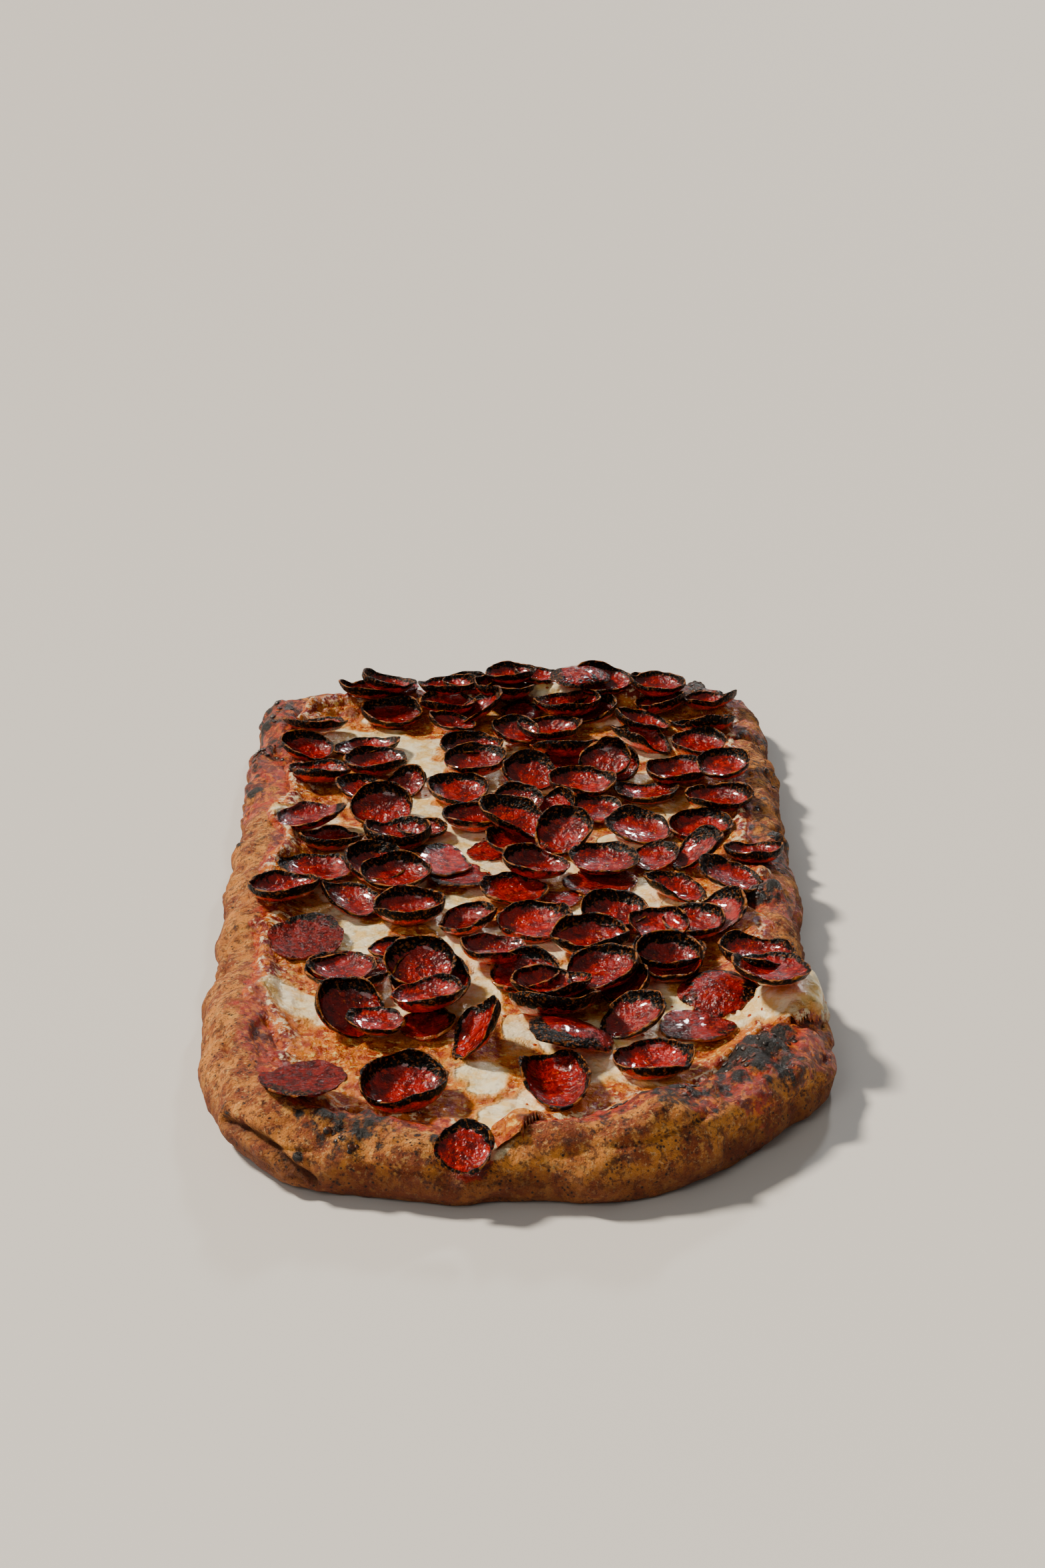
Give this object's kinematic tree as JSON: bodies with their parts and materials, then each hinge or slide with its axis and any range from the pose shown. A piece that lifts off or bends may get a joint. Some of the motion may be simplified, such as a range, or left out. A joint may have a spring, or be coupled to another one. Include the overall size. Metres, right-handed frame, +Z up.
{
  "type": "rectangular pepperoni pizza",
  "caption": "Whole long pizza with one rounded end, a raised browned rim, melted cheese and cupped pepperoni slices with charred edges.",
  "frame": {"origin": "middle of the outline at the flat underside", "axes": "+X across the pizza to the right, +Y along it away from the rounded front end, +Z up"},
  "size_m": [0.2922, 0.5241, 0.0402],
  "materials": {
    "baked_dough": null,
    "melted_cheese": null,
    "pepperoni": null
  },
  "bodies": {
    "root": {"crust": "baked_dough", "cheese": "melted_cheese", "pepperoni_01": "pepperoni", "pepperoni_02": "pepperoni", "pepperoni_03": "pepperoni", "pepperoni_04": "pepperoni", "pepperoni_05": "pepperoni", "pepperoni_06": "pepperoni", "pepperoni_07": "pepperoni", "pepperoni_08": "pepperoni", "pepperoni_09": "pepperoni", "pepperoni_10": "pepperoni", "pepperoni_11": "pepperoni", "pepperoni_12": "pepperoni", "pepperoni_13": "pepperoni", "pepperoni_14": "pepperoni", "pepperoni_15": "pepperoni", "pepperoni_16": "pepperoni", "pepperoni_17": "pepperoni", "pepperoni_18": "pepperoni", "pepperoni_19": "pepperoni", "pepperoni_20": "pepperoni", "pepperoni_21": "pepperoni", "pepperoni_22": "pepperoni", "pepperoni_23": "pepperoni", "pepperoni_24": "pepperoni", "pepperoni_25": "pepperoni", "pepperoni_26": "pepperoni", "pepperoni_27": "pepperoni", "pepperoni_28": "pepperoni", "pepperoni_29": "pepperoni", "pepperoni_30": "pepperoni", "pepperoni_31": "pepperoni", "pepperoni_32": "pepperoni", "pepperoni_33": "pepperoni", "pepperoni_34": "pepperoni", "pepperoni_35": "pepperoni", "pepperoni_36": "pepperoni", "pepperoni_37": "pepperoni", "pepperoni_38": "pepperoni", "pepperoni_39": "pepperoni", "pepperoni_40": "pepperoni", "pepperoni_41": "pepperoni", "pepperoni_42": "pepperoni", "pepperoni_43": "pepperoni", "pepperoni_44": "pepperoni", "pepperoni_45": "pepperoni", "pepperoni_46": "pepperoni", "pepperoni_47": "pepperoni", "pepperoni_48": "pepperoni", "pepperoni_49": "pepperoni", "pepperoni_50": "pepperoni", "pepperoni_51": "pepperoni", "pepperoni_52": "pepperoni", "pepperoni_53": "pepperoni", "pepperoni_54": "pepperoni", "pepperoni_55": "pepperoni", "pepperoni_56": "pepperoni", "pepperoni_57": "pepperoni", "pepperoni_58": "pepperoni"}
  },
  "joints": []
}
